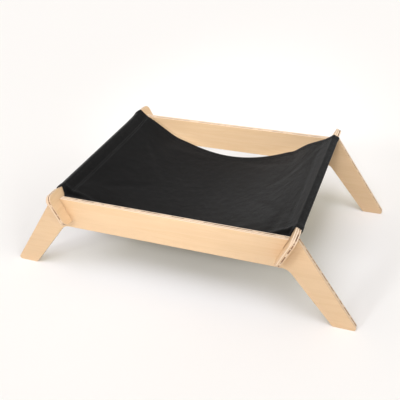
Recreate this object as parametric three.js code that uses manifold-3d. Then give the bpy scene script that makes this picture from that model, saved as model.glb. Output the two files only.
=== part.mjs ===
// Elevated pet bed: two plywood side panels, two tilted plywood cross boards and a canvas sling.
// The boards drop into slots in the panels, and the sling's two sleeves run round the boards.
// All sizes are in millimetres. X runs along the side panels, Y from front to back and Z is up.
// The origin is on the floor, under the middle of the bed.

import * as THREE from "three";
import { mergeVertices } from "three/addons/utils/BufferGeometryUtils.js";
import Module from "manifold-3d";

const wasm = await Module();
wasm.setup();

// Sheet goods
const plyThickness = 9.5;
const canvasThickness = 1.5;

// Side panel: a rail on two splayed legs, seen along Y. The rail's tip is the wood outside a slot, and
// a leg's top width is level with the rail's underside.
const footSpan = 630;
const footWidth = 40.5;
const railTopHeight = 153;
const railTipWidth = 3;
const railDepth = 55.5;
const legTopWidth = 51.5;
const crotchRadius = 22;
const footCornerRadius = 4.5;
const railCornerRadius = 1.2;

// Distance over the outer faces of the two panels
const frameDepth = 357;

// Cross board: the span is between the two boards' middle planes, at the height of the rail's top
const boardSpan = 409;
const boardTilt = THREE.MathUtils.degToRad(26);
const boardHeight = 60;
const tabRise = 12.5;
const tabReach = 21.5;
const tabCornerRadius = 12;
const shoulderInset = 4;
const sleeveRecess = 2.5;
const shoulderRoundShare = 0.9;

// Halving joint: the panel's slot opens upwards, and the board's notch opens downwards
const slotDepthShare = 0.5;
const slotClearance = 0.3;
const seatGap = 0.3;

// Sling: a sheet that sags between two sleeves, deepest in the middle and a little deeper at the rear
// edge than at the front edge. It has slid a little towards the rear along the boards.
const sleeveClearance = 0.3;
const sleeveEndGap = 4;
const slingShift = 3;
const middleSag = 81;
const edgeLift = 12;
const rearDrop = 5;
const sagBend = 220;

// The free edges are drawn in at the middle, by a share of the half width. The sleeves' ends flare out
// from the board's upper edge to its lower one, where they stop short of the panels.
const edgeBowShare = 0.045;
const frontPanelGap = 3;
const rearPanelGap = 1.5;

// Folds that run in from the sling's free edges. Each has its place as a share of the way from the
// middle to a sleeve, its end (1 on the rear edge and -1 on the front edge), and its shares of the
// rise, negative in a valley, and of the width.
const foldRise = 4.5;
const foldWidth = 20;
const foldReach = 90;
const foldShares = [
  { place: 0.79, end: 1, rise: 1, width: 1 },
  { place: 0.65, end: 1, rise: -0.4, width: 0.5 },
  { place: -0.62, end: 1, rise: -0.5, width: 0.9 },
  { place: 0.8, end: -1, rise: -0.4, width: 0.5 },
  { place: -0.83, end: -1, rise: 0.8, width: 1 },
];

// How finely round and soft shapes are cut into flat faces
const arcStep = THREE.MathUtils.degToRad(15);
const sheetSteps = 36;
const sheetBands = 10;

// Finish of the two materials
const plyFinish = { color: 0xefd0a8, roughness: 0.62, metalness: 0 };
const canvasFinish = { color: 0x2b2b2d, roughness: 0.95, metalness: 0 };

// Places that several pieces share
const panelInnerFace = frameDepth / 2 - plyThickness;
const boardEngagement = boardHeight - tabRise;
const slotDepth = boardEngagement * slotDepthShare;
const slotReach = plyThickness / 2 + slotClearance;
const slotMouth = slotReach / Math.cos(boardTilt);
const railHalfLength = boardSpan / 2 + slotMouth + railTipWidth;
const boardHalfLength = frameDepth / 2 + tabReach;
const shoulderY = panelInnerFace - shoulderInset;
const sleeveSeat = boardHeight - sleeveRecess;
const slingHalfWidth = shoulderY - sleeveEndGap;
const frontFlare = panelInnerFace - frontPanelGap - (slingHalfWidth - slingShift);
const rearFlare = panelInnerFace - rearPanelGap - (slingHalfWidth + slingShift);

// Unit vectors of the right-hand board in the XZ plane: up its slope, and out of its outer face
const slope = new THREE.Vector2(Math.sin(boardTilt), Math.cos(boardTilt));
const outward = new THREE.Vector2(Math.cos(boardTilt), -Math.sin(boardTilt));

// The XZ point that lies `up` the right-hand board from its lower edge and `out` from its middle plane.
function onBoard(up, out) {
  return new THREE.Vector2(boardSpan / 2, railTopHeight)
    .addScaledVector(slope, up - boardEngagement)
    .addScaledVector(outward, out);
}

// A corner of an outline, rounded to the given radius.
function corner(x, y, radius = 0) {
  return { point: new THREE.Vector2(x, y), radius };
}

function mirrored(corners) {
  return corners.map(({ point, radius }) => corner(-point.x, point.y, radius)).reverse();
}

// The arc that rounds one corner, as points from the side before it to the side after it.
function roundedCorner(before, { point, radius }, after) {
  if (radius === 0) return [point];
  const back = before.point.clone().sub(point).normalize();
  const ahead = after.point.clone().sub(point).normalize();
  const halfAngle = Math.acos(back.dot(ahead)) / 2;
  const centre = back.clone().add(ahead).setLength(radius / Math.sin(halfAngle)).add(point);
  const start = back.clone().multiplyScalar(radius / Math.tan(halfAngle)).add(point);
  const turn = Math.sign(ahead.cross(back)) * (Math.PI - 2 * halfAngle);
  const pieces = Math.ceil(Math.abs(turn) / arcStep);
  return Array.from({ length: pieces + 1 }, (_, i) =>
    start.clone().rotateAround(centre, (turn * i) / pieces));
}

// A closed outline with its corners rounded.
function roundedOutline(corners) {
  const count = corners.length;
  return corners.flatMap((here, i) =>
    roundedCorner(corners[(i + count - 1) % count], here, corners[(i + 1) % count]));
}

function plywood(name, outline) {
  const shape = new THREE.Shape(roundedOutline(outline));
  const geometry = new THREE.ExtrudeGeometry(shape, { depth: plyThickness, bevelEnabled: false });
  const mesh = new THREE.Mesh(geometry, new THREE.MeshStandardMaterial(plyFinish));
  mesh.name = name;
  return mesh;
}

// The panel's slot on the right: its mouth lies in the rail's top edge and its floor is square to it.
function panelSlot() {
  const floor = boardEngagement - slotDepth;
  const floorOuter = onBoard(floor, slotReach);
  const floorInner = onBoard(floor, -slotReach);
  return [
    corner(boardSpan / 2 + slotMouth, railTopHeight),
    corner(floorOuter.x, floorOuter.y),
    corner(floorInner.x, floorInner.y),
    corner(boardSpan / 2 - slotMouth, railTopHeight),
  ];
}

// A side panel is drawn flat, then set upright with the outline's Y as the bed's Z.
function sidePanel(name, rearFaceY) {
  const legX = THREE.MathUtils.lerp(railHalfLength, footSpan / 2, railDepth / railTopHeight);
  const rightHalf = [
    corner(legX - legTopWidth, railTopHeight - railDepth, crotchRadius),
    corner(footSpan / 2 - footWidth, 0, footCornerRadius),
    corner(footSpan / 2, 0, footCornerRadius),
    corner(railHalfLength, railTopHeight, railCornerRadius),
    ...panelSlot(),
  ];
  const panel = plywood(name, [...rightHalf, ...mirrored(rightHalf)]);
  panel.rotation.x = Math.PI / 2;
  panel.position.y = rearFaceY;
  return panel;
}

// A cross board is drawn flat, X along it and Y up its slope. One end runs from the lower edge's
// notch, round the tab outside the panel, to the shoulder that keeps the sleeve in place.
function boardEnd() {
  const notchRoof = boardEngagement - slotDepth + seatGap;
  return [
    corner(panelInnerFace - slotClearance, 0),
    corner(panelInnerFace - slotClearance, notchRoof),
    corner(frameDepth / 2 + slotClearance, notchRoof),
    corner(frameDepth / 2 + slotClearance, 0),
    corner(boardHalfLength, 0, tabCornerRadius),
    corner(boardHalfLength, boardHeight, tabCornerRadius),
    corner(shoulderY, boardHeight, sleeveRecess * shoulderRoundShare),
    corner(shoulderY, sleeveSeat),
  ];
}

// The board stands on edge along Y, and its group leans it outwards. Side is 1 right and -1 left.
function crossBoard(name, side) {
  const end = boardEnd();
  const board = plywood(name, [...end, ...mirrored(end)]);
  board.geometry.translate(0, -boardEngagement, -plyThickness / 2);
  board.rotation.set(Math.PI / 2, 0, Math.PI / 2, "ZYX");
  const lean = new THREE.Group();
  lean.position.set((side * boardSpan) / 2, 0, railTopHeight);
  lean.rotation.y = side * boardTilt;
  lean.add(board);
  return lean;
}

// The outline that runs round the right-hand board between its shoulders, `gap` off the wood.
function roundBoard(gap) {
  const half = plyThickness / 2 + gap;
  const corners = [
    onBoard(-gap, half),
    onBoard(sleeveSeat + gap, half),
    onBoard(sleeveSeat + gap, -half),
    onBoard(-gap, -half),
  ];
  return roundedOutline(corners.map(({ x, y }) => corner(x, y, gap)));
}

// The sleeve is a tube along Y whose bore fits the board. It is made about the sling's middle, and is a
// little longer at the board's lower edge than at its upper one.
function rightSleeve() {
  const shape = new THREE.Shape(roundBoard(sleeveClearance + canvasThickness));
  shape.holes.push(new THREE.Path(roundBoard(sleeveClearance)));
  const depth = 2 * slingHalfWidth;
  const geometry = new THREE.ExtrudeGeometry(shape, { depth, bevelEnabled: false });
  geometry.rotateX(Math.PI / 2);
  geometry.translate(0, slingHalfWidth, 0);
  const place = geometry.getAttribute("position");
  const top = onBoard(sleeveSeat, 0).y;
  const foot = onBoard(0, 0).y;
  for (let i = 0; i < place.count; i += 1) {
    const lowShare = THREE.MathUtils.clamp((top - place.getZ(i)) / (top - foot), 0, 1);
    const flare = place.getY(i) < 0 ? -frontFlare : rearFlare;
    place.setY(i, place.getY(i) + flare * lowShare);
  }
  return geometry;
}

// The sheet's rise from the middle of the bed to the distance `run`, as a share at the distance x.
// It is a hyperbola, round in the middle and almost straight near the sleeves.
function hangShare(x, run) {
  return (Math.hypot(sagBend, x) - sagBend) / (Math.hypot(sagBend, run) - sagBend);
}

// How fast that share grows with x.
function hangSlope(x, run) {
  return x / Math.hypot(sagBend, x) / (Math.hypot(sagBend, run) - sagBend);
}

// The end of the sheet's middle surface: inside the sleeve's wall, over the board's inner upper corner.
function sheetEnd() {
  const woodCorner = onBoard(sleeveSeat, -plyThickness / 2);
  const up = new THREE.Vector2(-middleSag * hangSlope(woodCorner.x, woodCorner.x), 1);
  return woodCorner.add(up.setLength(sleeveClearance + canvasThickness / 2));
}

// How far the folds lift the sheet at a place. Run is the distance from the middle to a sleeve. The
// lift fades out at the sleeves.
function foldLift(x, y, run) {
  return foldShares.reduce((total, { place, end, rise, width }) => {
    const across = (x - place * run) / (foldWidth * width);
    const inset = (slingHalfWidth - end * y) / foldReach;
    return total + foldRise * rise * Math.exp(-(across ** 2) - inset ** 2);
  }, 0) * (1 - (x / run) ** 8);
}

// The point of the sheet at (x, y) on its middle surface, moved half a cloth up (side 1) or down (-1).
// Y is measured from the sling's own middle.
function sheetPoint(x, y, side) {
  const end = sheetEnd();
  const share = y / slingHalfWidth;
  const sag = middleSag - edgeLift * share ** 2 + rearDrop * share;
  const height = end.y - sag * (1 - hangShare(x, end.x)) + foldLift(x, y, end.x);
  const lean = Math.atan(sag * hangSlope(x, end.x));
  const offset = (side * canvasThickness) / 2;
  const bowedY = y * (1 - edgeBowShare * (1 - (x / end.x) ** 2));
  return [x - offset * Math.sin(lean), bowedY, height + offset * Math.cos(lean)];
}

// A closed skin round a grid of upper and lower points. place(across, along, side) gives a point from
// its shares of the way over the grid, with side 1 above and -1 below.
function slab(columns, rows, place) {
  const positions = [];
  [1, -1].forEach((side) => {
    for (let j = 0; j <= rows; j += 1) {
      for (let i = 0; i <= columns; i += 1) positions.push(...place(i / columns, j / rows, side));
    }
  });
  const layer = (columns + 1) * (rows + 1);
  const top = (i, j) => j * (columns + 1) + i;
  const under = (i, j) => layer + top(i, j);
  const faces = [];
  const quad = (a, b, c, d) => faces.push(a, b, c, a, c, d);
  for (let j = 0; j < rows; j += 1) {
    for (let i = 0; i < columns; i += 1) {
      quad(top(i, j), top(i + 1, j), top(i + 1, j + 1), top(i, j + 1));
      quad(under(i, j), under(i, j + 1), under(i + 1, j + 1), under(i + 1, j));
    }
  }
  for (let i = 0; i < columns; i += 1) {
    quad(under(i, 0), under(i + 1, 0), top(i + 1, 0), top(i, 0));
    quad(under(i + 1, rows), under(i, rows), top(i, rows), top(i + 1, rows));
  }
  for (let j = 0; j < rows; j += 1) {
    quad(under(0, j + 1), under(0, j), top(0, j), top(0, j + 1));
    quad(under(columns, j), under(columns, j + 1), top(columns, j + 1), top(columns, j));
  }
  const geometry = new THREE.BufferGeometry();
  geometry.setAttribute("position", new THREE.Float32BufferAttribute(positions, 3));
  geometry.setIndex(faces);
  return geometry;
}

function sheet() {
  const run = sheetEnd().x;
  return slab(sheetSteps, sheetBands, (across, along, side) =>
    sheetPoint(run * (2 * across - 1), slingHalfWidth * (2 * along - 1), side));
}

// A closed geometry as a manifold-3d solid.
function solid(geometry) {
  const bare = new THREE.BufferGeometry();
  bare.setAttribute("position", geometry.getAttribute("position"));
  bare.setIndex(geometry.getIndex());
  const merged = mergeVertices(bare);
  const vertProperties = merged.getAttribute("position").array;
  const triVerts = new Uint32Array(merged.index.array);
  return new wasm.Manifold(new wasm.Mesh({ numProp: 3, vertProperties, triVerts }));
}

function geometryOf(body) {
  const { vertProperties, triVerts } = body.getMesh();
  const geometry = new THREE.BufferGeometry();
  geometry.setAttribute("position", new THREE.BufferAttribute(vertProperties, 3));
  geometry.setIndex(new THREE.BufferAttribute(triVerts, 1));
  geometry.computeVertexNormals();
  return geometry;
}

// The sling is one piece of cloth: its sheet and both sleeves joined.
function canvasSling(name) {
  const sleeve = solid(rightSleeve());
  const body = solid(sheet()).add(sleeve).add(sleeve.mirror([1, 0, 0]));
  const sling = new THREE.Mesh(geometryOf(body), new THREE.MeshStandardMaterial(canvasFinish));
  sling.name = name;
  sling.position.y = slingShift;
  return sling;
}

const bed = new THREE.Group();
bed.add(
  sidePanel("front_side_panel", plyThickness - frameDepth / 2),
  sidePanel("rear_side_panel", frameDepth / 2),
  crossBoard("left_cross_board", -1),
  crossBoard("right_cross_board", 1),
  canvasSling("canvas_sling"),
);

export default bed;
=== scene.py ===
"""Elevated pet bed: its plywood and canvas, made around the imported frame.

Two plywood side panels carry two leaning cross boards, and a canvas sling hangs between the boards.
Lengths are in millimetres until a mesh is made. X runs along the side panels, Y to the rear, Z up.
"""

import math

import bpy
import numpy as np
from mathutils import Matrix, Vector


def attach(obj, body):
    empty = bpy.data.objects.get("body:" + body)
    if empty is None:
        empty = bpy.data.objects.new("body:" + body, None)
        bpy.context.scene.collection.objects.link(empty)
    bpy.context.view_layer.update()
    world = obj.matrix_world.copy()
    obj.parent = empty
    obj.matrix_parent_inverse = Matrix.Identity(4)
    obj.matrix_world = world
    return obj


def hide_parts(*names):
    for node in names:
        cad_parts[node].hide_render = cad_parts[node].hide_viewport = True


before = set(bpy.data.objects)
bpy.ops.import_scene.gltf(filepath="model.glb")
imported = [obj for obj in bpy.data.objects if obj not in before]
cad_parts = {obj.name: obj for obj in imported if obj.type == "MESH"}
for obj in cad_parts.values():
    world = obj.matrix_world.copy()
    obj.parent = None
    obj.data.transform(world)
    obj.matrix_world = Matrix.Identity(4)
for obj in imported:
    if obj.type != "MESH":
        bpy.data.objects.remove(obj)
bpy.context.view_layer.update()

MM = 0.001

# Plywood sheet: its thickness, its plies and how deep its bold glue line lies, how far its arrises are
# eased, and the points on an arris and on a rounded corner
PLY = 9.5
PLIES = 5
DARK_GLUE = 6.6
ARRIS = 0.55
ARRIS_STEPS = 4
CORNER_STEPS = 14

# Side panel, and the depth of the frame over both of them
FOOT_SPAN = 630
FOOT_WIDTH = 40.5
RAIL_TOP = 153
RAIL_TIP = 3
RAIL_DEPTH = 55.5
LEG_TOP_WIDTH = 51.5
CROTCH_RADIUS = 22
FOOT_RADIUS = 4.5
RAIL_RADIUS = 1.2
FRAME_DEPTH = 357

# Cross board: its tabs stick out past the panels, its shoulders stand beside the sleeve
BOARD_SPAN = 409
BOARD_TILT = math.radians(26)
BOARD_HEIGHT = 60
TAB_RISE = 12.5
TAB_REACH = 21.5
TAB_RADIUS = 12
SHOULDER_INSET = 4
SLEEVE_RECESS = 2.5
SHOULDER_RADIUS = 2.25

# Halving joint: its clearance, the gap at its seat, and how much wider the slots are made to look
SLOT_CLEARANCE = 0.3
SEAT_GAP = 0.3
SLOT_EASE = 0.45
NOTCH_RADIUS = 0.6

# Sling: its cloth, the room it has on its boards, and how it sags and bows
CLOTH = 1.25
SLEEVE_CLEARANCE = 0.3
SLEEVE_END_GAP = 4
SLING_SHIFT = 3
FRONT_PANEL_GAP = 3
REAR_PANEL_GAP = 1.5
SAG_FLOOR = 84
EDGE_LIFT = 12
REAR_DROP = 5
SAG_BEND = 220
EDGE_BOW_SHARE = 0.045

# Seam: its place in from the ridge and below it, how far either side of it the sheet bends, the flap
# of its allowance under the sheet, and the gap between its two rows of stitches
SEAM_INSET = 14.5
SEAM_FALL = 11.8
SEAM_KINK = 4.5
SEAM_ALLOWANCE = 9
SEAM_ROW_GAP = 4
FLAP_GAP = 0.15
FLAP_EASE = 1.5
FLAP_FALL = 6
FLAP_SLOPE = 0.62

# Sleeve's flare: where it starts and is full past the ridge, where it lets go and is gone before the
# sleeve's end, and the power of y that it grows with
FLARE_FROM = 9
FLARE_FULL = 30
FLARE_LETS_GO = 18
FLARE_GONE = 8
FLARE_POWER = 6

# Front corners of the sheet, which turn down: how wide and how far out, down to which height and by
# how much at least and at most, from which x, over how much of the flap, and where the board stands
TURNED_WIDTH = 4.6
TURNED_REACH = 7
TURNED_TO = 149.5
TURNED_LEAST = 2.5
TURNED_MOST = 15
TURNED_FROM_X = 164
TURNED_FULL_X = 180
TURNED_FLAP = 12
BOARD_FROM_X = 190
BOARD_FULL_X = 202

# Rear left corner, which rises: how much, how far past the ridge, and over which length and width
CORNER_RISE = 3.6
RISE_PAST_RIDGE = 4
RISE_LENGTH = 13
RISE_WIDTH = 24

# Hem of a free edge: its width, its stitches' place and its relief, the share that it is thicker by
# on the side it is turned to, its puff, and how softly it ends on the near and the far side
HEM_WIDTH = 12
HEM_STITCH = 10
HEM_RELIEF = 0.4
HEM_TURNED_SHARE = 0.4
HEM_PUFF = 0.28
HEM_STEP_NEAR = 0.4
HEM_STEP_FAR = 1.2

# How deep and wide stitches pinch the cloth, how its free edges are rounded, and how softly the
# sheet's relief gives way to the sleeve's at the ridge
HEM_PINCH = 0.26
SEAM_PINCH = 0.13
PINCH_WIDTH = 0.9
EDGE_ROUND = 0.9
EDGE_LEAST = 0.2
RIDGE_SOFTNESS = 3

# Cloth turned in beyond the finished size: at each hem and at the sleeves' ends in all
HEM_TURN_IN = 8
END_TURN_IN = 12

# Where the cloth has points: stations in from a free edge and out from a seam, how many lie in
# between, and the spacing of those round a sleeve
HEM_STATIONS = np.array([
    0, 0.12, 0.35, 0.75, 1.4, 2.4, 3.8, 5.4, 7, 8.4, 9.2, 10, 10.8, 11.5, 12.2, 13, 14, 16])
SEAM_STATIONS = np.array([-8.4, -6.6, -5.2, -4, -2.8, -1.6, -0.8, 0, 0.8, 1.6, 2.6, 4, 6, 8])
MIDDLE_ROWS = 74
INSIDE_STATIONS = 51
RIDGE_STATIONS = 2
FLAP_STATIONS = 6
FLAP_START = 1.2
SLEEVE_STEP = 3.4
SLEEVE_ARC_STEPS = 6
LEAST_STEP = 0.12

# Sewing: the spacing and length of the stitches, and how far from the cloth's edges and past the seam
# their rows end
STITCH_PITCH = 4.1
STITCH_LENGTH = 2.9
ROW_END_ACROSS = 5
ROW_END_ALONG = 2
ROW_PAST_SEAM = 6

# Thread: its width, how far a stitch rises in widths, how deep its ends sink, how flat it is and how
# thin its ends are, and the points it has along and round it
THREAD = 0.62
THREAD_RISE = 0.62
THREAD_SINK = 0.12
THREAD_FLATNESS = 0.7
THREAD_TIP = 0.02
THREAD_RINGS = 5
THREAD_SIDES = 6

# A short step along the cloth, by which directions on it are found
NEARBY = 0.5

# How the canvas's look is laid on: how fast the painted shade of the turned-down corners comes in, and
# how far off the pattern of the cloth's lower face lies
CORNER_SHADE_RATE = 4
UNDER_PATTERN = 7

# Places that several pieces share
PANEL_INNER = FRAME_DEPTH / 2 - PLY
ENGAGEMENT = BOARD_HEIGHT - TAB_RISE
SLOT_DEPTH = ENGAGEMENT / 2
SLOT_REACH = PLY / 2 + SLOT_CLEARANCE
SLOT_MOUTH = SLOT_REACH / math.cos(BOARD_TILT)
RAIL_HALF = BOARD_SPAN / 2 + SLOT_MOUTH + RAIL_TIP
BOARD_HALF = FRAME_DEPTH / 2 + TAB_REACH
SHOULDER = PANEL_INNER - SHOULDER_INSET
SLEEVE_SEAT = BOARD_HEIGHT - SLEEVE_RECESS
SLING_HALF = SHOULDER - SLEEVE_END_GAP
FRONT_FLARE = PANEL_INNER - FRONT_PANEL_GAP - (SLING_HALF - SLING_SHIFT)
REAR_FLARE = PANEL_INNER - REAR_PANEL_GAP - (SLING_HALF + SLING_SHIFT)

SLOPE = np.array([math.sin(BOARD_TILT), math.cos(BOARD_TILT)])
OUTWARD = np.array([math.cos(BOARD_TILT), -math.sin(BOARD_TILT)])


def on_board(up, out):
    """XZ place that lies `up` the right-hand board's slope and `out` from its middle plane."""
    return np.array([BOARD_SPAN / 2, RAIL_TOP]) + SLOPE * (up - ENGAGEMENT) + OUTWARD * out


def unit(vectors):
    """Each vector divided by its length."""
    return vectors / np.linalg.norm(vectors, axis=-1, keepdims=True)


def turned_left(vectors):
    """Flat vectors turned a quarter turn to the left."""
    return np.stack([-vectors[..., 1], vectors[..., 0]], axis=-1)


def smooth(low, high, value):
    """0 below `low`, 1 above `high` and a smooth cubic step, 3t^2 - 2t^3, between them."""
    share = np.clip((value - low) / (high - low), 0, 1)
    return share * share * (3 - 2 * share)


def bell(value, width):
    """A bell curve of height 1, exp(-(value / width)^2)."""
    return np.exp(-((value / width) ** 2))


def corner_arcs(before, corner, after, radius, steps):
    """Arcs that round the corners of a flat line, and the directions square to them on the right.

    The arc is tangent to both of the corner's sides. Its centre lies on the corner's bisector, the
    radius over the sine of the half angle away, and its square direction turns evenly from that of
    the side before to that of the side after.
    """
    coming, going = unit(corner - before), unit(after - corner)
    cross = coming[:, 0] * going[:, 1] - coming[:, 1] * going[:, 0]
    turn = np.arctan2(cross, (coming * going).sum(axis=1))
    centre = corner + unit(going - coming) * (radius / np.cos(turn / 2))[:, None]
    square = -turned_left(coming)
    start = np.arctan2(square[:, 1], square[:, 0])
    angle = start[:, None] + turn[:, None] * np.linspace(0, 1, steps + 1)
    normal = np.stack([np.cos(angle), np.sin(angle)], axis=-1)
    reach = np.sign(turn) * radius
    return centre[:, None] + normal * reach[:, None, None], normal


def rounded_outline(corners):
    """Points and outward directions round a closed outline of corners (x, y, radius)."""
    table = np.array(corners, float)
    place = table[:, :2]
    points, normals = corner_arcs(
        np.roll(place, 1, axis=0), place, np.roll(place, -1, axis=0), table[:, 2], CORNER_STEPS)
    return points.reshape(-1, 2), normals.reshape(-1, 2)


def both_halves(half):
    """A half outline of corners (x, y, radius), followed by its mirror image in reverse order."""
    return half + [(-x, y, radius) for x, y, radius in reversed(half)]


def grid_quads(index, closed=False):
    """Quads between the neighbours of a grid of point numbers, wrapped round its second axis if closed."""
    near = index if closed else index[:, :-1]
    far = np.roll(index, -1, axis=1) if closed else index[:, 1:]
    return np.stack([near[:-1], far[:-1], far[1:], near[1:]], axis=-1).reshape(-1, 4)


def new_piece(name, points, faces, smooth_faces, finish, attributes):
    """A named piece from points in millimetres, its faces, its finish and its point attributes."""
    mesh = bpy.data.meshes.new(name)
    mesh.from_pydata((points * MM).tolist(), [], faces)
    mesh.polygons.foreach_set("use_smooth", smooth_faces)
    for title, values in attributes.items():
        kind = "FLOAT_VECTOR" if values.ndim == 2 else "FLOAT"
        field = mesh.attributes.new(title, kind, "POINT")
        key = "vector" if values.ndim == 2 else "value"
        field.data.foreach_set(key, values.astype(np.float32).ravel())
    mesh.materials.append(finish)
    mesh.update()
    piece = bpy.data.objects.new(name, mesh)
    bpy.context.scene.collection.objects.link(piece)
    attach(piece, "root")
    return piece


def sheet_part(name, node, corners, origin, along, up, sawn_from, turned, finish):
    """A part sawn from plywood, with its arrises eased by a quarter circle.

    The rounded outline f(u) is carried through the thickness: at step v it lies at depth(v) and is
    drawn in along its own outward directions by inset(v), which run round a quarter circle at each
    face. One flat face closes each end. `sawn_from` is the part's place in its own sheet, and a part
    that is `turned` shows the sheet's other side to the front.
    """
    outline, outward = rounded_outline(corners)
    angle = np.linspace(0, math.pi / 2, ARRIS_STEPS + 1)
    inset = ARRIS * (1 - np.sin(angle))
    depth = ARRIS * (1 - np.cos(angle))
    inset = np.concatenate([inset, inset[::-1]])
    depth = np.concatenate([depth, PLY - depth[::-1]])
    flat = outline[None] - outward[None] * inset[:, None, None]
    through = np.broadcast_to(depth[:, None, None], flat.shape[:2] + (1,))
    in_sheet = np.concatenate([flat, through], axis=2).reshape(-1, 3)
    points = np.array(origin) + in_sheet @ np.stack([along, up, np.cross(along, up)])
    index = np.arange(len(points)).reshape(flat.shape[:2])
    sides = grid_quads(index, closed=True)
    faces = sides.tolist() + [index[0, ::-1].tolist(), index[-1].tolist()]
    smooth_faces = np.append(np.ones(len(sides), bool), [False, False])
    end_grain = np.broadcast_to(outward[None, :, 0] ** 2, flat.shape[:2]).ravel()
    if turned:
        in_sheet = in_sheet * [1, 1, -1] + [0, 0, PLY]
    attributes = {"in_sheet": in_sheet + sawn_from, "end_grain": end_grain}
    piece = new_piece(name, points, faces, smooth_faces, finish, attributes)
    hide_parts(node)


def panel_outline():
    """Corners of a side panel: legs, feet, and a slot near each end of the rail."""
    leg = RAIL_HALF + (FOOT_SPAN / 2 - RAIL_HALF) * RAIL_DEPTH / RAIL_TOP
    outer = on_board(ENGAGEMENT - SLOT_DEPTH, SLOT_REACH + SLOT_EASE)
    inner = on_board(ENGAGEMENT - SLOT_DEPTH, -SLOT_REACH - SLOT_EASE)
    mouth = SLOT_MOUTH + SLOT_EASE / math.cos(BOARD_TILT)
    return both_halves([
        (leg - LEG_TOP_WIDTH, RAIL_TOP - RAIL_DEPTH, CROTCH_RADIUS),
        (FOOT_SPAN / 2 - FOOT_WIDTH, 0, FOOT_RADIUS),
        (FOOT_SPAN / 2, 0, FOOT_RADIUS),
        (RAIL_HALF, RAIL_TOP, RAIL_RADIUS),
        (BOARD_SPAN / 2 + mouth, RAIL_TOP, NOTCH_RADIUS),
        (outer[0], outer[1], NOTCH_RADIUS),
        (inner[0], inner[1], NOTCH_RADIUS),
        (BOARD_SPAN / 2 - mouth, RAIL_TOP, NOTCH_RADIUS),
    ])


def board_outline():
    """Corners of a cross board: notch, rounded tab and the shoulder beside the sleeve at each end."""
    roof = ENGAGEMENT - SLOT_DEPTH + SEAT_GAP
    return both_halves([
        (PANEL_INNER - SLOT_CLEARANCE, 0, NOTCH_RADIUS),
        (PANEL_INNER - SLOT_CLEARANCE, roof, NOTCH_RADIUS),
        (FRAME_DEPTH / 2 + SLOT_CLEARANCE, roof, NOTCH_RADIUS),
        (FRAME_DEPTH / 2 + SLOT_CLEARANCE, 0, NOTCH_RADIUS),
        (BOARD_HALF, 0, TAB_RADIUS),
        (BOARD_HALF, BOARD_HEIGHT, TAB_RADIUS),
        (SHOULDER, BOARD_HEIGHT, SHOULDER_RADIUS),
        (SHOULDER, SLEEVE_SEAT, NOTCH_RADIUS / 2),
    ])


# Folds in the hanging sheet, in millimetres: the middle's x and y, the direction it runs in, degrees
# from X, its half width, half length and rise, which is negative in a valley.
FOLDS = np.array([
    (160, 150, 97, 20, 75, 4.5),
    (132, 152, 100, 10, 70, -1.8),
    (-126, 150, 80, 18, 80, -2.2),
    (162, -146, 84, 10, 70, -1.8),
    (-176, 158, 84, 28, 34, 3.4),
    (186, 160, 100, 14, 22, 1.2),
    (174, 96, 62, 6, 52, 0.9),
    (150, 70, 50, 7, 60, -0.8),
    (-168, 104, 118, 7, 56, 0.8),
    (-140, 72, 131, 8, 64, -0.8),
    (-172, -112, 62, 6, 50, 0.8),
    (-146, -80, 48, 8, 62, -0.9),
    (172, -104, 118, 7, 54, 0.9),
    (-168, -152, 94, 20, 40, 3.8),
    (148, -74, 132, 8, 60, -0.8),
    (176, 10, 96, 9, 70, 0.6),
    (-174, -20, 84, 9, 76, 0.6),
    (96, -124, 20, 9, 40, 0.8),
    (-92, -126, 161, 9, 42, 0.8),
    (84, 128, 162, 9, 42, -0.8),
    (-88, 126, 20, 9, 40, 0.7),
    (40, 30, 95, 26, 90, 0.9),
    (-46, -24, 84, 30, 90, 0.9),
])


def fold_rise(x, y):
    """Sum of the folds: each is its rise times a bell across it and a wider bell along it."""
    middle_x, middle_y, heading, width, length, rise = (FOLDS[:, k, None, None] for k in range(6))
    along_x, along_y = np.cos(np.radians(heading)), np.sin(np.radians(heading))
    dx, dy = x[None] - middle_x, y[None] - middle_y
    across = dy * along_x - dx * along_y
    along = dx * along_x + dy * along_y
    return (rise * bell(across, width) * bell(along, length)).sum(axis=0)


def hang_share(x, run):
    """Rise from the middle to `run` as a share: a hyperbola, round in the middle and then straight."""
    return (np.hypot(SAG_BEND, x) - SAG_BEND) / (np.hypot(SAG_BEND, run) - SAG_BEND)


# Lines of the sleeve: the ridge where the sheet leaves the board, the seam, and how its corners round
RIDGE_GAP = SLEEVE_CLEARANCE + CLOTH / 2
TOP_INNER = on_board(SLEEVE_SEAT, -PLY / 2)
RIDGE_LEAN = math.atan2(SEAM_FALL, SEAM_INSET)
RIDGE_NORMAL = np.array([-math.sin(RIDGE_LEAN), math.cos(RIDGE_LEAN)])
RIDGE = TOP_INNER + RIDGE_NORMAL * RIDGE_GAP
SEAM = RIDGE - np.array([SEAM_INSET, SEAM_FALL])
SLEEVE_ROUNDS = np.array([2.6, 1.8, RIDGE_GAP, RIDGE_GAP, 0.8, 2])


def sheet_height(x, y):
    """Height of the hanging sheet's middle surface.

    Between the seams it is the seam's height less a sag times 1 - the hyperbola's share. The sag
    eases towards both free edges with the square of y, and grows with y towards the rear. Outside a
    seam it climbs straight to the ridge. A smooth step blends the two at the seam, and the folds are
    added, which fade out from the seam to the ridge.
    """
    share = y / SLING_HALF
    sag = SEAM[1] - SAG_FLOOR - EDGE_LIFT * share ** 2 + REAR_DROP * share
    inside = SEAM[1] - sag * (1 - hang_share(x, SEAM[0]))
    outside = SEAM[1] + (np.abs(x) - SEAM[0]) * SEAM_FALL / SEAM_INSET
    blend = smooth(-SEAM_KINK, SEAM_KINK, np.abs(x) - SEAM[0])
    fade = 1 - smooth(SEAM[0], RIDGE[0], np.abs(x))
    return inside * (1 - blend) + outside * blend + fold_rise(x, y) * fade


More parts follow.
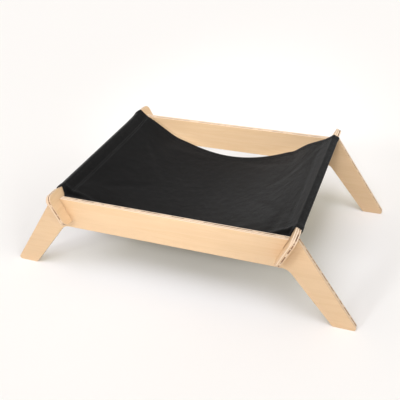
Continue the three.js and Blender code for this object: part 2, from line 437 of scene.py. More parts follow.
def sleeve_line():
    """XZ line of the right-hand sleeve, and the place under the seam that it passes.

    The line runs from the ridge round the board and in under the sheet. It stays one gap off the wood:
    straight along each face of the board, with an arc about each of its corners. Near the top of the
    inner face it turns in and runs along the sheet's underside.
    """
    under_seam = SEAM - RIDGE_NORMAL * (CLOTH + FLAP_GAP) + np.array([FLAP_EASE, 0])
    inner = on_board(SLEEVE_SEAT, -PLY / 2 - RIDGE_GAP)
    into = unit(RIDGE - SEAM)
    reach = np.linalg.solve(np.stack([SLOPE, -into], axis=1), under_seam - inner)[0]
    turn = inner + SLOPE * reach
    end = under_seam - [SEAM_ALLOWANCE, FLAP_FALL]
    wood = np.stack([
        TOP_INNER, on_board(SLEEVE_SEAT, PLY / 2), on_board(0, PLY / 2), on_board(0, -PLY / 2)])
    normals = np.stack([RIDGE_NORMAL, SLOPE, OUTWARD, -SLOPE, -OUTWARD])
    bisector = normals[:-1] + normals[1:]
    spread = 1 + (normals[:-1] * normals[1:]).sum(axis=1)
    corners = wood + bisector * (RIDGE_GAP / spread)[:, None]
    line = np.concatenate([[RIDGE], corners, [turn, under_seam, end]])
    arcs, _ = corner_arcs(line[:-2], line[1:-1], line[2:], SLEEVE_ROUNDS, SLEEVE_ARC_STEPS)
    return arcs.reshape(-1, 2), under_seam


def spaced(line, step):
    """The line's own points with more between them, so that no gap is much over the step."""
    lengths = np.linalg.norm(np.diff(line, axis=0), axis=1)
    run = np.concatenate([[0], np.cumsum(lengths)])
    stations = np.union1d(run, np.linspace(0, run[-1], int(run[-1] / step)))
    stations = stations[np.concatenate([[True], np.diff(stations) > LEAST_STEP])]
    return np.stack([np.interp(stations, run, line[:, k]) for k in range(2)], axis=1)


def cloth_rows():
    """Places across the cloth, from its front free edge to its rear one, closer along the hems."""
    half = SLING_HALF - HEM_STATIONS
    between = np.linspace(-half[-1], half[-1], MIDDLE_ROWS + 2)[1:-1]
    return np.concatenate([-half, between, half[::-1]])


def cloth_strip(rows):
    """Middle surface of the whole cloth as one strip, before its edges and corners are shaped.

    The first axis of its x and z runs along the strip, from the left flap to the right one, and the
    second from front to rear. The hanging sheet has its own height, the flaps lie one cloth and a gap
    under it, and each sleeve follows its line. Also given are the unfolded length of each station from
    the middle of the strip, that of the seam and of the ridge, and the whole length of a sleeve.
    """
    line, under_seam = sleeve_line()
    line = spaced(line, SLEEVE_STEP)
    flap_x = np.linspace(line[-1, 0] - FLAP_START, under_seam[0] - SEAM_ALLOWANCE, FLAP_STATIONS)
    seam_x = SEAM[0] + SEAM_STATIONS
    inside_x = np.linspace(0, seam_x[0], INSIDE_STATIONS + 1)[:-1]
    ridge_x = np.linspace(seam_x[-1], RIDGE[0], RIDGE_STATIONS + 2)[1:-1]
    half_x = np.concatenate([inside_x, seam_x, ridge_x])
    right_x = np.concatenate([half_x, line[:, 0], flap_x])
    x, y = np.meshgrid(np.concatenate([-right_x[:0:-1], right_x]), rows, indexing="ij")
    z = sheet_height(x, y)
    flap, sleeve = len(flap_x), len(flap_x) + len(line)
    flap_drop = (CLOTH + FLAP_GAP) / math.cos(math.atan(FLAP_SLOPE))
    z[:flap] -= flap_drop
    z[-flap:] -= flap_drop
    z[flap:sleeve] = line[::-1, 1:]
    z[-sleeve:-flap] = line[:, 1:]
    centre_row = len(rows) // 2
    steps = np.hypot(np.diff(x[:, centre_row]), np.diff(z[:, centre_row]))
    run = np.concatenate([[0], np.cumsum(steps)])
    middle = len(run) // 2
    run -= run[middle]
    seam_run = run[middle + np.argmin(np.abs(half_x - SEAM[0]))]
    ridge_run = run[middle + len(half_x) - 1]
    sleeve_length = np.linalg.norm(np.diff(line, axis=0), axis=1).sum()
    return x, z, run, seam_run, ridge_run, sleeve_length


def cloth_surface(rows):
    """Middle surface of the sling: its strip with the edges, the sleeves and the corners shaped.

    The sheet's free edges bow inwards by a share of y times 1 - (x / ridge)^2. The sleeve flares
    towards the panels by the sixth power of its share of the half length. At its front corners the
    sheet turns down along a crease: its last few millimetres move outwards in y and down by the turned
    share times their height over a level, and beside a board they move in by the fall times the
    tangent of the board's lean. The rear left corner rises by a bell along the strip times one across
    it. Also given are the unfolded length along the strip, that of the seam, and the turned share.
    """
    x, z, run, seam_run, ridge_run, sleeve_length = cloth_strip(rows)
    past_ridge = (np.abs(run) - ridge_run)[:, None]
    to_end = sleeve_length - past_ridge
    hanging = past_ridge < 0
    bow = EDGE_BOW_SHARE * (1 - np.clip(np.abs(x) / RIDGE[0], 0, 1) ** 2) * hanging
    flare = smooth(FLARE_FROM, FLARE_FULL, past_ridge) * smooth(FLARE_GONE, FLARE_LETS_GO, to_end)
    reach = np.where(rows < 0, -FRONT_FLARE, REAR_FLARE) * np.abs(rows / SLING_HALF) ** FLARE_POWER
    near_front = np.clip(1 - (SLING_HALF + rows) / TURNED_WIDTH, 0, 1)
    near_board = smooth(TURNED_FROM_X, TURNED_FULL_X, np.abs(x))
    turned = near_front * near_board * (hanging | (to_end < TURNED_FLAP))
    fall = turned * np.clip(z - TURNED_TO, TURNED_LEAST, TURNED_MOST)
    inwards = fall * math.tan(BOARD_TILT) * smooth(BOARD_FROM_X, BOARD_FULL_X, np.abs(x))
    rise = CORNER_RISE * bell(past_ridge - RISE_PAST_RIDGE, RISE_LENGTH) * (run < 0)[:, None]
    rise = rise * bell(SLING_HALF - rows, RISE_WIDTH)
    y = rows * (1 - bow) + flare * reach - TURNED_REACH * turned
    return np.stack([x - np.sign(x) * inwards, y, z + rise - fall], axis=2), run, seam_run, turned


def surface_normals(points):
    """Unit directions square to a grid of points, on the side that is above the hanging sheet."""
    return unit(np.cross(np.gradient(points, axis=0), np.gradient(points, axis=1)))


def cloth_thickness(from_seam, from_edge):
    """How far the cloth's outer and inner face lie from its middle surface.

    Each is half a cloth away. A hem adds to that where the cloth is turned over, and more so on the
    side it is turned to: the underside of the sheet, and the outside of a sleeve. It puffs by half a
    sine wave between its edge and its stitches, which pinch it by a bell. The seams' stitches pinch
    the outer face alone, and a sleeve's inner face stays plain on the board. Both faces are rounded
    towards a free edge by a quarter circle, sqrt(1 - (1 - t)^2).
    """
    in_sleeve = smooth(SEAM_INSET - RIDGE_SOFTNESS, SEAM_INSET + RIDGE_SOFTNESS, from_seam)
    hem = HEM_RELIEF * (1 - smooth(HEM_WIDTH - HEM_STEP_NEAR, HEM_WIDTH + HEM_STEP_FAR, from_edge))
    within = from_edge < HEM_STITCH
    puff = HEM_PUFF * np.clip(np.sin(math.pi * from_edge / HEM_STITCH), 0, 1) * within
    pinch = HEM_PINCH * bell(from_edge - HEM_STITCH, PINCH_WIDTH)
    seam_rows = bell(from_seam, PINCH_WIDTH) + bell(from_seam + SEAM_ROW_GAP, PINCH_WIDTH)
    outer = CLOTH / 2 + hem * (1 + HEM_TURNED_SHARE * in_sleeve) + puff - pinch - SEAM_PINCH * seam_rows
    inner = CLOTH / 2 + (hem * (1 + HEM_TURNED_SHARE) + puff - pinch) * (1 - in_sleeve)
    share = np.clip(from_edge / EDGE_ROUND, 0, 1)
    rounded = np.maximum(np.sqrt(1 - (1 - share) ** 2), EDGE_LEAST)
    return outer * rounded, inner * rounded


def closed_shell(top, under):
    """Points and quads of the shell between two grids of points, with its four rims closed."""
    index = np.arange(top[..., 0].size).reshape(top.shape[:2])
    low = index + index.size
    quads = [grid_quads(index)[:, ::-1], grid_quads(low)]
    rims = [
        (low[:, 0], index[:, 0]), (index[:, -1], low[:, -1]), (index[0], low[0]), (low[-1], index[-1])]
    for near, far in rims:
        quads.append(np.stack([near[:-1], near[1:], far[1:], far[:-1]], axis=1))
    return np.concatenate([top.reshape(-1, 3), under.reshape(-1, 3)]), np.concatenate(quads)


def make_sling(canvas, thread):
    """The canvas sling, as one shell between the two faces of its cloth, and all of its stitches."""
    rows = cloth_rows()
    middle, run, seam_run, turned = cloth_surface(rows)
    from_edge = np.repeat((SLING_HALF - np.abs(rows))[None], len(run), axis=0)
    from_seam = np.repeat(np.abs(run)[:, None] - seam_run, len(rows), axis=1)
    outer, inner = cloth_thickness(from_seam, from_edge)
    normals = surface_normals(middle)
    shift = np.array([0, SLING_SHIFT, 0])
    top = middle + normals * outer[..., None] + shift
    under = middle - normals * inner[..., None] + shift
    points, quads = closed_shell(top, under)
    in_cloth = np.stack(np.broadcast_arrays(run[:, None], rows, 0), axis=2).reshape(-1, 3)
    # Painted shade: how much of the cloth's sheen is taken off at the turned-down front corners, to darken
    # them
    painted_shade = np.clip(turned * CORNER_SHADE_RATE, 0, 1)
    sewing = np.stack([from_seam, from_edge, painted_shade], axis=2).reshape(-1, 3)
    attributes = {
        "in_cloth": np.concatenate([in_cloth, in_cloth + [0, 0, UNDER_PATTERN]]),
        "sewing": np.concatenate([sewing, sewing]),
    }
    all_smooth = np.ones(len(quads), bool)
    sling = new_piece(
        "sling_canvas", points, quads.tolist(), all_smooth, canvas, attributes)
    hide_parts("canvas_sling")
    stitches = make_stitches(top, under, run, rows, seam_run, thread)
    cut = (
        (2 * SLING_HALF + 2 * (HEM_WIDTH + HEM_TURN_IN)) * MM,
        (run[-1] - run[0] + END_TURN_IN) * MM,
    )


def on_cloth(grid, run, rows, along, across):
    """Places on a grid of cloth points at unfolded coordinates, weighted between the four around."""
    i = np.interp(along, run, np.arange(len(run)))
    j = np.interp(across, rows, np.arange(len(rows)))
    i0 = np.minimum(i.astype(int), len(run) - 2)
    j0 = np.minimum(j.astype(int), len(rows) - 2)
    fi, fj = (i - i0)[:, None], (j - j0)[:, None]
    near = grid[i0, j0] * (1 - fj) + grid[i0, j0 + 1] * fj
    far = grid[i0 + 1, j0] * (1 - fj) + grid[i0 + 1, j0 + 1] * fj
    return near * (1 - fi) + far * fi


def stitch_rows(run, seam_run):
    """Every row of stitches: on which face, where along and across the cloth, and whether lengthwise.

    Two rows hold each seam, and show on the sheet's upper face and under its flap. One row runs along
    each hem, and shows on the cloth's outer face all along and on its inner one between the sleeves.
    """
    reach = SLING_HALF - ROW_END_ACROSS
    across = np.arange(-reach, reach, STITCH_PITCH)
    along = np.arange(run[0] + ROW_END_ALONG, run[-1] - ROW_END_ALONG, STITCH_PITCH)
    inside = along[np.abs(along) < seam_run + ROW_PAST_SEAM]
    gaps = (0, SEAM_ROW_GAP)
    ends = ((run[0], 1), (run[-1], -1))
    seams = [side * (seam_run - gap) for side in (-1, 1) for gap in gaps]
    seams += [end + inwards * (SEAM_ALLOWANCE - gap) for end, inwards in ends for gap in gaps]
    hems = [side * (SLING_HALF - HEM_STITCH) for side in (-1, 1)]
    crosswise = [("top", np.full_like(across, seam), across, False) for seam in seams]
    lengthwise = [("top", along, np.full_like(along, hem), True) for hem in hems]
    below = [("under", inside, np.full_like(inside, hem), True) for hem in hems]
    return crosswise + lengthwise + below


def make_stitches(top, under, run, rows, seam_run, thread):
    """Every stitch of the sling as a short raised loop of thread, on both faces of the cloth.

    A loop is a ring f(v) carried along u from -1 to 1: its half width is the thread's times
    the fourth root of 1 - u^2 and it bows up by 1 - u^2, so its ends sink into the cloth.
    """
    u = np.linspace(-1, 1, THREAD_RINGS)
    v = np.arange(THREAD_SIDES) * 2 * math.pi / THREAD_SIDES
    swell = 1 - u ** 2
    width = THREAD / 2 * np.maximum(swell, THREAD_TIP) ** 0.25
    bow = THREAD * THREAD_RISE * swell - THREAD_SINK
    forward = u * STITCH_LENGTH / 2
    sideways = width[:, None] * np.cos(v)
    upwards = width[:, None] * np.sin(v) * THREAD_FLATNESS + bow[:, None]
    loops = []
    for face, s, t, lengthwise in stitch_rows(run, seam_run):
        grid, outside = (top, 1) if face == "top" else (under, -1)
        middle = on_cloth(grid, run, rows, s, t)
        along = unit(on_cloth(grid, run, rows, s + NEARBY, t) - middle)
        across = unit(on_cloth(grid, run, rows, s, t + NEARBY) - middle)
        way = along if lengthwise else across
        out = unit(np.cross(along, across)) * outside
        side = np.cross(out, way)
        loops.append(
            middle[:, None, None]
            + (way[:, None, None] * forward[:, None, None]
               + side[:, None, None] * sideways[..., None]
               + out[:, None, None] * upwards[..., None]))
    points = np.concatenate(loops)
    index = np.arange(points[..., 0].size).reshape(points.shape[:3])
    near, far = index[:, :-1], index[:, 1:]
    quads = np.stack([near, far, np.roll(far, -1, axis=2), np.roll(near, -1, axis=2)], axis=-1)
    faces = quads[..., ::-1].reshape(-1, 4).tolist()
    faces += index[:, 0].tolist() + index[:, -1, ::-1].tolist()
    on_loop = np.stack(np.broadcast_arrays(forward[:, None], v, 0), axis=-1)
    in_thread = np.broadcast_to(on_loop, points.shape).reshape(-1, 3)
    all_smooth = np.ones(len(faces), bool)
    return new_piece("sling_stitches", points.reshape(-1, 3), faces, all_smooth, thread,
                     {"in_thread": in_thread})


class Wire:
    """A shader socket in a sum: each operator adds one Math node to its finish."""

    def __init__(self, finish, socket):
        self.finish, self.socket = finish, socket

    def maths(self, operation, *values, clamp=False):
        node = self.finish.node(
            "Math", {"operation": operation, "use_clamp": clamp}, dict(enumerate(values)))
        return Wire(self.finish, node.outputs[0])

    def __add__(self, other):
        return self.maths("ADD", self, other)

    def __sub__(self, other):
        return self.maths("SUBTRACT", self, other)

    def __rsub__(self, other):
        return self.maths("SUBTRACT", other, self)

    def __mul__(self, other):
        return self.maths("MULTIPLY", self, other)

    def __truediv__(self, other):
        return self.maths("DIVIDE", self, other)

    def __pow__(self, other):
        return self.maths("POWER", self, other)

    def __mod__(self, other):
        return self.maths("FLOORED_MODULO", self, other)

    def __abs__(self):
        return self.maths("ABSOLUTE", self)

    def __neg__(self):
        return self.maths("MULTIPLY", self, -1)

    __radd__ = __add__
    __rmul__ = __mul__

    def sine(self):
        return self.maths("SINE", self)

    def whole(self):
        return self.maths("FLOOR", self)

    def kept(self):
        """Held between 0 and 1."""
        return self.maths("ADD", self, 0, clamp=True)

    def step(self, low, high):
        """A smooth step from 0 at `low` to 1 at `high`."""
        node = self.finish.node(
            "MapRange", {"interpolation_type": "SMOOTHSTEP"},
            {"Value": self, "From Min": low, "From Max": high})
        return Wire(self.finish, node.outputs[0])

    def bell(self, width):
        """exp(-(value / width)^2)."""
        return self.maths("EXPONENT", -((self / width) ** 2))


class Finish:
    """A material in the making."""

    def __init__(self, name):
        self.material = bpy.data.materials.new(name)
        self.material.use_nodes = True
        self.tree = self.material.node_tree
        self.tree.nodes.clear()

    def node(self, kind, settings=None, inputs=None):
        """Any shader node: its type, its settings, and the values or wires of its sockets."""
        node = self.tree.nodes.new("ShaderNode" + kind)
        for key, value in (settings or {}).items():
            if key == "stops":
                self.set_stops(node.color_ramp, value)
            else:
                setattr(node, key, value)
        for key, value in (inputs or {}).items():
            if isinstance(value, Wire):
                self.tree.links.new(value.socket, node.inputs[key])
            else:
                node.inputs[key].default_value = value
        return node

    @staticmethod
    def set_stops(ramp, stops):
        """Puts (place, colour) stops on a colour ramp."""
        while len(ramp.elements) < len(stops):
            ramp.elements.new(1)
        for element, (place, colour) in zip(ramp.elements, stops):
            element.position = place
            element.color = (*colour, 1)

    def attribute(self, name):
        """The piece's own vector attribute."""
        return Wire(self, self.node("Attribute", {"attribute_name": name}).outputs["Vector"])

    def number(self, name):
        """The piece's own number attribute."""
        return Wire(self, self.node("Attribute", {"attribute_name": name}).outputs["Fac"])

    def parts(self, vector):
        """A vector's three numbers."""
        node = self.node("SeparateXYZ", {}, {0: vector})
        return [Wire(self, node.outputs[k]) for k in range(3)]

    def joined(self, x, y, z):
        """Three numbers as a vector."""
        return Wire(self, self.node("CombineXYZ", {}, {0: x, 1: y, 2: z}).outputs[0])

    def scaled(self, vector, sizes):
        """A vector with each of its numbers divided by a size."""
        shares = tuple(1 / size for size in sizes)
        node = self.node("VectorMath", {"operation": "MULTIPLY"}, {0: vector, 1: shares})
        return Wire(self, node.outputs[0])

    def noise(self, vector, sizes, detail=2, distortion=0):
        """Soft noise from 0 to 1, whose grains have the given sizes along the three directions."""
        node = self.node("TexNoise", {}, {
            "Vector": self.scaled(vector, sizes), "Scale": 1, "Detail": detail, "Distortion": distortion})
        return Wire(self, node.outputs[0])

    def mix(self, share, first, second, blend="MIX"):
        """A colour that goes from the first to the second."""
        node = self.node("Mix", {"data_type": "RGBA", "blend_type": blend}, {
            0: share, 6: first if isinstance(first, Wire) else (*first, 1),
            7: second if isinstance(second, Wire) else (*second, 1)})
        return Wire(self, node.outputs[2])

    def ramp(self, value, stops):
        """A colour looked up on stops of (place, colour)."""
        node = self.node("ValToRGB", {"stops": stops}, {0: value})
        return Wire(self, node.outputs[0])

    def grey(self, value):
        """A number as an even colour."""
        node = self.node("CombineColor", {}, {0: value, 1: value, 2: value})
        return Wire(self, node.outputs[0])

    def bump(self, height, distance, strength=1.0, over=None):
        """A bump from heights that are shares of the distance in millimetres, over another if given."""
        inputs = {"Height": height, "Distance": distance * MM, "Strength": strength}
        if over is not None:
            inputs["Normal"] = over
        return Wire(self, self.node("Bump", {}, inputs).outputs[0])

    def surface(self, colour, roughness, normal, **steady):
        """A surface. `steady` are the values that are even all over it."""
        node = self.node("BsdfPrincipled", {}, {
            "Base Color": colour, "Roughness": roughness, "Normal": normal, **steady})
        return Wire(self, node.outputs[0])

    def blend(self, share, first, second):
        """A surface that goes from the first to the second."""
        return Wire(self, self.node("MixShader", {}, {0: share, 1: first, 2: second}).outputs[0])

    def closed(self, surface):
        """Ends the finish with its surface."""
        self.node("OutputMaterial", {}, {0: surface})
        return self.material


# Grains of the plywood: their sizes along, across and through the sheet, in millimetres
FIGURE_GRAIN = (230, 15, 3.1)
CLOUD_GRAIN = (120, 80, 5)
FIBRE_GRAIN = (26, 0.8, 2.3)
PORE_GRAIN = (5.5, 0.34, 1.9)
WANDER_GRAIN = (16, 16, 4)
STREAK_GRAIN = (9, 9, 1.2)
SPECK_GRAIN = (0.55, 0.55, 0.35)
BREAK_GRAIN = (18, 8, 1)

# Colours of the plywood: its face, its plies sawn along and across their grain, the tone that is mixed
# into edges sawn across the panel, the thin glue lines, the bold one, and the painted shade on the arris
FACE_COLOURS = [
    (0.30, (0.718, 0.498, 0.297)), (0.47, (0.734, 0.517, 0.314)),
    (0.58, (0.706, 0.486, 0.284)), (0.72, (0.741, 0.527, 0.324))]
LONG_PLY_COLOURS = ((0.91, 0.76, 0.60), (0.88, 0.71, 0.53))
END_PLY_COLOURS = ((0.70, 0.49, 0.31), (0.50, 0.31, 0.185))
END_TONE = (0.70, 0.48, 0.295)
THIN_GLUE = (0.16, 0.07, 0.03)
BOLD_GLUE = (0.16, 0.06, 0.018)
ARRIS_SHADE = (0.30, 0.15, 0.07)

# How much each of them shows, as a share
CLOUD_SHARE = 0.5
CLOUD_RANGE = 0.28
FIBRE_SHADE = 0.10
PORE_SHADE = 0.07
END_TONE_SHARE = 0.45
THIN_GLUE_SHARE = 0.22
BOLD_GLUE_LEAST = 0.12
BOLD_GLUE_RANGE = 0.8
ARRIS_SHADE_SHARE = 0.72

# Where the edge's look gives way to the face's, in from a face, and where the arris gets its painted shade
RIM_FROM = 0.45
RIM_TO = 0.12
ARRIS_SHADE_DEPTH = 0.25
ARRIS_SHADE_WIDTH = 0.22

# How far plies and the bold glue line wander, and half the bold line's width at its core and in all
PLY_WANDER = 0.5
GLUE_WANDER = 0.8
GLUE_CORE = 0.75
GLUE_HALF = 1.2

# Relief of the plywood in millimetres
WOOD_RELIEF = 0.09


def birch_plywood():
    """Satin birch plywood: pale rotary-cut faces, and cut edges that show the plies and their glue."""
    wood = Finish("birch_plywood")
    place = wood.attribute("in_sheet")
    along, across, depth = wood.parts(place)
    end_grain = wood.number("end_grain")
    side = abs(depth - PLY / 2)
    rim = 1 - side.step(PLY / 2 - RIM_FROM, PLY / 2 - RIM_TO)

    # Faces: a wide figure, soft clouds, fine fibres and short pores
    figure = wood.noise(place, FIGURE_GRAIN, detail=3, distortion=0.9)
    cloud = wood.noise(place, CLOUD_GRAIN)
    fibre = wood.noise(place, FIBRE_GRAIN)
    pores = wood.noise(place, PORE_GRAIN, detail=1).step(0.64, 0.74)
    clouding = wood.grey(1 - CLOUD_RANGE / 2 + cloud * CLOUD_RANGE)
    shading = wood.grey(1.0 - (fibre - 0.5) * FIBRE_SHADE - pores * PORE_SHADE)
    face = wood.ramp(figure, FACE_COLOURS)
    face = wood.mix(CLOUD_SHARE, face, clouding, "MULTIPLY")
    face = wood.mix(1.0, face, shading, "MULTIPLY")

    # Plies: every other one is crossed, so an edge shows the one's long grain and the other's end grain
    wander = wood.noise(wood.joined(along, across, depth * 0.15), WANDER_GRAIN) - 0.5
    ply = (depth + wander * PLY_WANDER) / (PLY / PLIES)
    crossed = ply.whole() % 2
    end_share = crossed + end_grain - crossed * end_grain * 2
    streaks = wood.noise(wood.joined(along, across, depth * 3), STREAK_GRAIN)
    specks = wood.noise(place, SPECK_GRAIN)
    long_ply = wood.mix(streaks.step(0.35, 0.7), *LONG_PLY_COLOURS)
    end_ply = wood.mix(specks.step(0.5, 0.7), *END_PLY_COLOURS)
    edge = wood.mix(end_share, long_ply, end_ply)
    edge = wood.mix(end_grain * END_TONE_SHARE, edge, END_TONE)

    # Glue: a thin line between any two plies, and one bold broken line. The arris gets a painted shade line
    seam = 1 - abs(ply - (ply + 0.5).whole()).step(0.06, 0.22)
    edge = wood.mix(seam * THIN_GLUE_SHARE, edge, THIN_GLUE)
    glue = 1 - abs(depth + wander * GLUE_WANDER - DARK_GLUE).step(GLUE_CORE, GLUE_HALF)
    broken = wood.noise(wood.joined(along, across, 0), BREAK_GRAIN).step(0.42, 0.5)
    edge = wood.mix(glue * (BOLD_GLUE_LEAST + broken * BOLD_GLUE_RANGE), edge, BOLD_GLUE)
    # Painted shade: a thin dark line along each arris stands in for the shade in the slot gaps and on edges
    # turned from the light
    arris = (side - (PLY / 2 - ARRIS_SHADE_DEPTH)).bell(ARRIS_SHADE_WIDTH)
    edge = wood.mix(arris * ARRIS_SHADE_SHARE, edge, ARRIS_SHADE)
    colour = wood.mix(rim, face, edge)

    rough = 0.44 + fibre * 0.10 + rim * 0.2
    grain_height = fibre * (1 - rim) * 0.35 - pores * (1 - rim) * 0.5
    edge_height = rim * (specks * end_share * 0.8 + streaks * (1 - end_share) * 0.4 - seam * 0.6)
    normal = wood.bump(grain_height + edge_height, WOOD_RELIEF)
    return wood.closed(wood.surface(colour, rough, normal, **{"Coat Weight": 0.12, "Coat Roughness": 0.3}))


# Yarns of the canvas: their spacing along and across the cloth, the sizes of their unevenness, and
# those of clouds, fuzz and slack, in millimetres
WARP_PITCH = 0.78
WEFT_PITCH = 0.86
DRIFT_GRAIN = (60, 60, 9)
WARP_GRAIN = (0.8, 46, 9)
WEFT_GRAIN = (46, 0.86, 9)
TINT_GRAIN = (85, 60, 9)
FUZZ_GRAIN = (2.4, 2.4, 9)
SLACK_GRAIN = (13, 16, 9)

# Colours of the canvas: its two tints, the gaps between its yarns, and where it is rubbed pale
CANVAS_COLOURS = ((0.0022, 0.0023, 0.0026), (0.0036, 0.0037, 0.0040))
YARN_GAP = (0.0012, 0.0013, 0.0014)
RUBBED = (0.085, 0.085, 0.088)

# How much the yarns' tints differ and how much the rubbed places show, as shares, and how wide the
# rubbed places are along both ridges and the free edges
YARN_RANGE = 0.56
RUBBED_SHARE = 0.35
RIDGE_RUB = 0.5
EDGE_RUB = 0.35
INNER_RUB_WIDTH = 2.6
OUTER_RUB_WIDTH = 2.4
EDGE_RUB_WIDTH = 1.3

# Relief of the canvas in millimetres, and how far its puckers reach from a seam's and a hem's stitches
WEAVE_RELIEF = 0.16
SLACK_RELIEF = 0.9
SEAM_PUCKER_WIDTH = 4.5
HEM_PUCKER_WIDTH = 3.2

# Painted shade on the left half of the cloth, its sheen partly taken off: from where, to where, and by
# which share
LEFT_SHADE_FROM = 20
LEFT_SHADE_FULL = 200
LEFT_SHADE_SHARE = 0.3

# What is even all over the cloth with its sheen, and over its copy without sheen that paints shade
SHEENED_CLOTH = {
    "Specular IOR Level": 0.2, "Sheen Weight": 0.235, "Sheen Roughness": 0.4,
    "Sheen Tint": (0.62, 0.63, 0.66, 1)}
PAINTED_SHADE_CLOTH = {"Specular IOR Level": 0.1, "Sheen Weight": 0.03, "Sheen Roughness": 0.4}


def charcoal_canvas():
    """Charcoal canvas: a plain weave of uneven yarns, puckered at its stitches and rubbed at its ridges."""
    cloth = Finish("charcoal_canvas")
    place = cloth.attribute("in_cloth")
    along, across, _ = cloth.parts(place)
    from_seam, from_edge, corner_shade = cloth.parts(cloth.attribute("sewing"))

    # Weave: two waves crossed, whose product's sign says which yarn lies on top
    drift = cloth.noise(place, DRIFT_GRAIN, detail=1) - 0.5
    warp = (along + drift * 3) * (math.pi / WARP_PITCH)
    weft = (across + drift * 2) * (math.pi / WEFT_PITCH)
    crossing = warp.sine() * weft.sine()
    over = crossing.step(-0.12, 0.12)
    knuckle = abs(crossing) ** 0.6
    warp_yarn = cloth.noise(place, WARP_GRAIN)
    weft_yarn = cloth.noise(place, WEFT_GRAIN)
    yarn = warp_yarn * over + weft_yarn * (1 - over)

    # Colour: two tints, uneven yarns, dark gaps, and pale wear along the ridges and free edges
    tint = cloth.noise(place, TINT_GRAIN, detail=3)
    fuzz = cloth.noise(place, FUZZ_GRAIN, detail=3)
    inner_ridge = (from_seam - SEAM_INSET).bell(INNER_RUB_WIDTH)
    outer_ridge = (from_seam - SEAM_INSET - PLY - 1).bell(OUTER_RUB_WIDTH)
    ridge = (inner_ridge + outer_ridge) * fuzz.step(0.4, 0.75)
    rub = (ridge * RIDGE_RUB + from_edge.bell(EDGE_RUB_WIDTH) * EDGE_RUB).kept()
    colour = cloth.mix(tint.step(0.25, 0.78), *CANVAS_COLOURS)
    colour = cloth.mix(1.0, colour, cloth.grey(1 - YARN_RANGE / 2 + yarn * YARN_RANGE), "MULTIPLY")
    colour = cloth.mix(knuckle.step(0.2, 0.7), YARN_GAP, colour)
    colour = cloth.mix(rub * RUBBED_SHARE, colour, RUBBED)

    # Relief: the weave, and over it soft slack and the puckers between stitches
    turns = 2 * math.pi / STITCH_PITCH
    pucker = (across * turns).sine() * (from_seam + SEAM_ROW_GAP / 2).bell(SEAM_PUCKER_WIDTH)
    hem_pucker = (along * turns).sine() * (from_edge - HEM_STITCH).bell(HEM_PUCKER_WIDTH)
    slack = cloth.noise(place, SLACK_GRAIN, detail=3)
    weave = cloth.bump(knuckle * 0.7 + yarn * 0.5, WEAVE_RELIEF)
    soft_height = slack * 1.5 + pucker * 0.28 + hem_pucker * 0.24
    normal = cloth.bump(soft_height, SLACK_RELIEF, strength=0.6, over=weave)

    rough = 0.86 + yarn * 0.1
    # Painted shade: a copy without sheen, blended in at the turned-down front corners and over the left
    # half, darkens them
    sheened = cloth.surface(colour, rough, normal, **SHEENED_CLOTH)
    painted_shade = cloth.surface(colour, rough, normal, **PAINTED_SHADE_CLOTH)
    # Painted shade on the left half grows to the left of the middle
    shade_share = (corner_shade + (-along).step(LEFT_SHADE_FROM, LEFT_SHADE_FULL) * LEFT_SHADE_SHARE).kept()
    return cloth.closed(cloth.blend(shade_share, sheened, painted_shade))


# Thread: how fast its twist winds along it, its colours between and on the strands, and its relief
TWIST_RATE = 9
THREAD_COLOURS = ((0.005, 0.0052, 0.0056), (0.013, 0.0133, 0.0142))
THREAD_RELIEF = 0.08


def sewing_thread():
    """Charcoal thread with the slanting lines of its twist."""
    thread = Finish("sewing_thread")
    along, turn, _ = thread.parts(thread.attribute("in_thread"))
    twist = ((along * TWIST_RATE + turn).sine() * 0.5 + 0.5) ** 0.7
    colour = thread.mix(twist, *THREAD_COLOURS)
    normal = thread.bump(twist, THREAD_RELIEF)
    return thread.closed(thread.surface(colour, 0.6 + twist * 0.15, normal, **{
        "Sheen Weight": 0.2, "Specular IOR Level": 0.35}))


# Floor: half its width and the size of its grain, in metres, its colours, and its faint even glow
FLOOR_HALF = 9.0
FLOOR_GRAIN = (0.004, 0.004, 0.004)
FLOOR_COLOURS = ((0.895, 0.893, 0.888), (0.905, 0.903, 0.898))
FLOOR_GLOW = (0.043, 0.032, 0.010, 1)


def studio_floor():
    """A plain pale floor, even and matt."""
    paper = Finish("studio_floor")
    place = Wire(paper, paper.node("TexCoord").outputs["Object"])
    grain = paper.noise(place, FLOOR_GRAIN)
    colour = paper.mix(grain, *FLOOR_COLOURS)
    finish = paper.closed(paper.surface(colour, 0.9 + grain * 0.05, paper.bump(grain, 0.02), **{
        "Specular IOR Level": 0, "Emission Color": FLOOR_GLOW, "Emission Strength": 1}))
    corners = [(x * FLOOR_HALF, y * FLOOR_HALF, 0) for x, y in ((-1, -1), (1, -1), (1, 1), (-1, 1))]
    mesh = bpy.data.meshes.new("studio_floor")
    mesh.from_pydata(corners, [], [(0, 1, 2, 3)])
    mesh.materials.append(finish)
    floor = bpy.data.objects.new("studio_floor", mesh)
    bpy.context.scene.collection.objects.link(floor)


# Studio lamps: azimuth and height of where the light comes from and how wide it is, in degrees, its
# strength and its colour
LAMPS = [
    ("low_key", 239, 22, 9, 0.66, (0.98, 1, 1.03)),
    ("high_key", 246, 68, 44, 1.27, (0.97, 0.98, 1.16)),
    ("side_fill", 339, 30, 40, 0.70, (0.98, 1, 1.02)),
]

# Soft spots: energy in watts, cone in degrees, and where each stands and points, in metres, with the
# radius of their lights
SPOTS = [
    ("rear_fill", 60, 28, (0.1, -0.95, 0.95), (-0.05, 0.17, 0.155)),
    ("left_fill", 16, 16, (0.55, -0.85, 0.55), (-0.31, -0.16, 0.08)),
]
SPOT_RADIUS = 0.2

# Pale surround: its colour and strength
SURROUND_COLOUR = (1, 0.945, 0.80, 1)
SURROUND_STRENGTH = 0.505


def place_lamp(name, lamp, place, backwards):
    """Puts a lamp at a place, with its back along a direction."""
    holder = bpy.data.objects.new(name, lamp)
    holder.location = place
    holder.rotation_euler = backwards.to_track_quat("Z", "Y").to_euler()
    bpy.context.scene.collection.objects.link(holder)


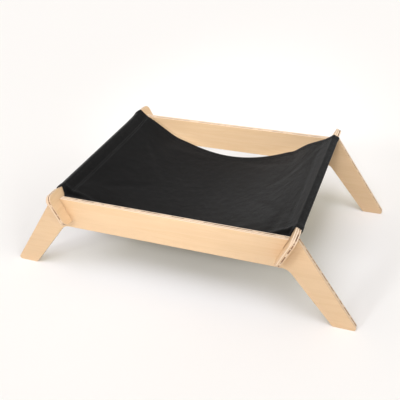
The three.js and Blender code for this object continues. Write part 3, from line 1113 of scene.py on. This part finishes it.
def studio_light():
    """Soft keys from the front left, a fill from the right, two soft spots, and a pale surround."""
    for name, azimuth, height, width, energy, colour in LAMPS:
        lamp = bpy.data.lights.new(name, "SUN")
        lamp.energy = energy
        lamp.angle = math.radians(width)
        lamp.color = colour
        turn, rise = math.radians(azimuth), math.radians(height)
        source = Vector((math.cos(turn) * math.cos(rise), math.sin(turn) * math.cos(rise), math.sin(rise)))
        place_lamp(name, lamp, (0, 0, 0), source)
    for name, energy, cone, place, target in SPOTS:
        lamp = bpy.data.lights.new(name, "SPOT")
        lamp.energy = energy
        lamp.spot_size = math.radians(cone)
        lamp.spot_blend = 1
        lamp.shadow_soft_size = SPOT_RADIUS
        place_lamp(name, lamp, place, Vector(place) - Vector(target))
    world = bpy.data.worlds.new("pale_surround")
    world.use_nodes = True
    background = world.node_tree.nodes["Background"]
    background.inputs["Color"].default_value = SURROUND_COLOUR
    background.inputs["Strength"].default_value = SURROUND_STRENGTH
    bpy.context.scene.world = world


# Camera: its place in metres, its heading, dip and roll in degrees, its focal length and the picture's
# width in pixels, its sensor's width in millimetres, and how far it sees in metres
CAMERA_PLACE = (0.3522, -0.9132, 0.6980)
CAMERA_ANGLES = (21.795, -32.288, -2.586)
FOCAL_PIXELS = 613.07
PICTURE_PIXELS = 400
SENSOR_WIDTH = 36
FARTHEST = 60


def photo_camera():
    """The camera, from its place, heading, dip and roll."""
    heading, dip, roll = (math.radians(angle) for angle in CAMERA_ANGLES)
    forward = Vector((-math.sin(heading) * math.cos(dip), math.cos(heading) * math.cos(dip), math.sin(dip)))
    level = Vector((math.cos(heading), math.sin(heading), 0))
    upright = level.cross(forward)
    right = level * math.cos(roll) + upright * math.sin(roll)
    up = upright * math.cos(roll) - level * math.sin(roll)
    turn = Matrix((right, up, -forward)).transposed().to_4x4()
    lens = bpy.data.cameras.new("photo_camera")
    lens.sensor_width = SENSOR_WIDTH
    lens.lens = FOCAL_PIXELS / PICTURE_PIXELS * SENSOR_WIDTH
    lens.clip_end = FARTHEST
    camera = bpy.data.objects.new("photo_camera", lens)
    camera.matrix_world = Matrix.Translation(Vector(CAMERA_PLACE)) @ turn
    bpy.context.scene.collection.objects.link(camera)
    bpy.context.scene.camera = camera


# Where each part is sawn from its sheet of plywood, in millimetres
SAWN_FROM = {
    "front_panel": (340, 90, 0),
    "rear_panel": (1400, 370, 0),
    "left_board": (2040, 610, 0),
    "right_board": (2560, 610, 0),
}


def make_bed():
    """All the pieces of the bed."""
    birch = birch_plywood()
    panel, board = panel_outline(), board_outline()
    sheet_part("front_panel_ply", "front_side_panel", panel, (0, PLY - FRAME_DEPTH / 2, 0),
               (1, 0, 0), (0, 0, 1), SAWN_FROM["front_panel"], True, birch)
    sheet_part("rear_panel_ply", "rear_side_panel", panel, (0, FRAME_DEPTH / 2, 0),
               (1, 0, 0), (0, 0, 1), SAWN_FROM["rear_panel"], False, birch)
    foot = on_board(0, 0)
    for side, name in ((-1, "left"), (1, "right")):
        up = np.array([side * SLOPE[0], 0, SLOPE[1]])
        inner = np.array([side * foot[0], 0, foot[1]]) - np.cross((0, 1, 0), up) * PLY / 2
        sheet_part(name + "_board_ply", name + "_cross_board", board, inner,
                   (0, 1, 0), up, SAWN_FROM[name + "_board"], False, birch)
    make_sling(charcoal_canvas(), sewing_thread())


make_bed()
studio_floor()
studio_light()
photo_camera()
bpy.context.scene.view_settings.view_transform = "Standard"
